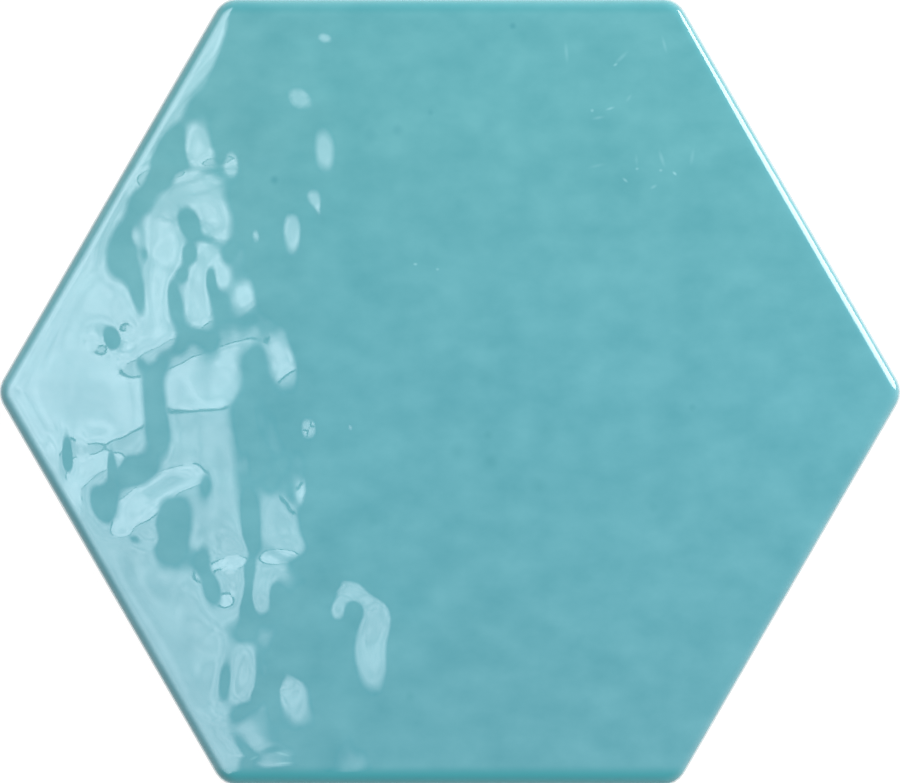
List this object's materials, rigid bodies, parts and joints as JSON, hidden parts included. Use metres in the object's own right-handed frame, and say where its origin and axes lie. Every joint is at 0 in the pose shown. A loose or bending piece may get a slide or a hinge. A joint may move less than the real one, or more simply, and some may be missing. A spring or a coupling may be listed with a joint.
{
  "type": "hexagon tile",
  "caption": "Flat hexagonal ceramic tile with a glossy, gently uneven turquoise glazed face, rolled edges and a keyed unglazed back for bonding to a wall.",
  "frame": {"origin": "middle of the back, on the plane that the tile rests on", "axes": "+Z out of the glazed face, +X towards a corner, +Y square to a straight side"},
  "size_m": [0.175, 0.153, 0.0087],
  "materials": {
    "turquoise_glaze": "gloss"
  },
  "bodies": {
    "root": {"hexagon_tile": "turquoise_glaze"}
  },
  "joints": []
}
